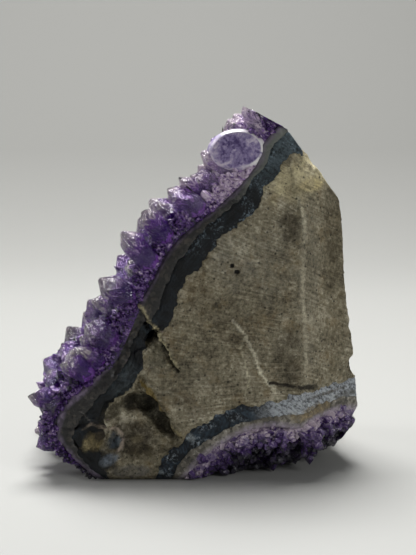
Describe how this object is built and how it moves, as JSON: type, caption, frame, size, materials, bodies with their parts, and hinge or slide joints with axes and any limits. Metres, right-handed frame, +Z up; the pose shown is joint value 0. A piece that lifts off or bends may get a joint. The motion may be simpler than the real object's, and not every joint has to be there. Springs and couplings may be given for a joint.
{
  "type": "amethyst cluster",
  "caption": "Sawn geode piece that stands on a flat cut, with amethyst points lining one slope and a small pocket at its foot.",
  "frame": {"origin": "on the flat cut base, near its middle, straight under the highest part of the piece", "axes": "+Z up, +X to the right seen from the ground front face, +Y from that face towards the back"},
  "size_m": [0.1052, 0.0666, 0.1147],
  "materials": {
    "basalt": "sawn and ground, fine saw marks",
    "dark_agate": "ground, slightly waxy",
    "grey_quartz": "ground, granular",
    "amethyst": "natural crystal faces, glassy and see-through",
    "pocket_agate": "ground, granular",
    "pocket_rind": "ground, dull",
    "pocket_amethyst": "natural crystal faces, glassy"
  },
  "bodies": {
    "root": {"basalt_matrix": "basalt", "blue_agate_band": "dark_agate", "grey_quartz_layer": "grey_quartz", "amethyst_crystals": "amethyst", "pocket_agate_band": "pocket_agate", "pocket_quartz_layer": "pocket_rind", "pocket_crystals": "pocket_amethyst"}
  },
  "joints": []
}
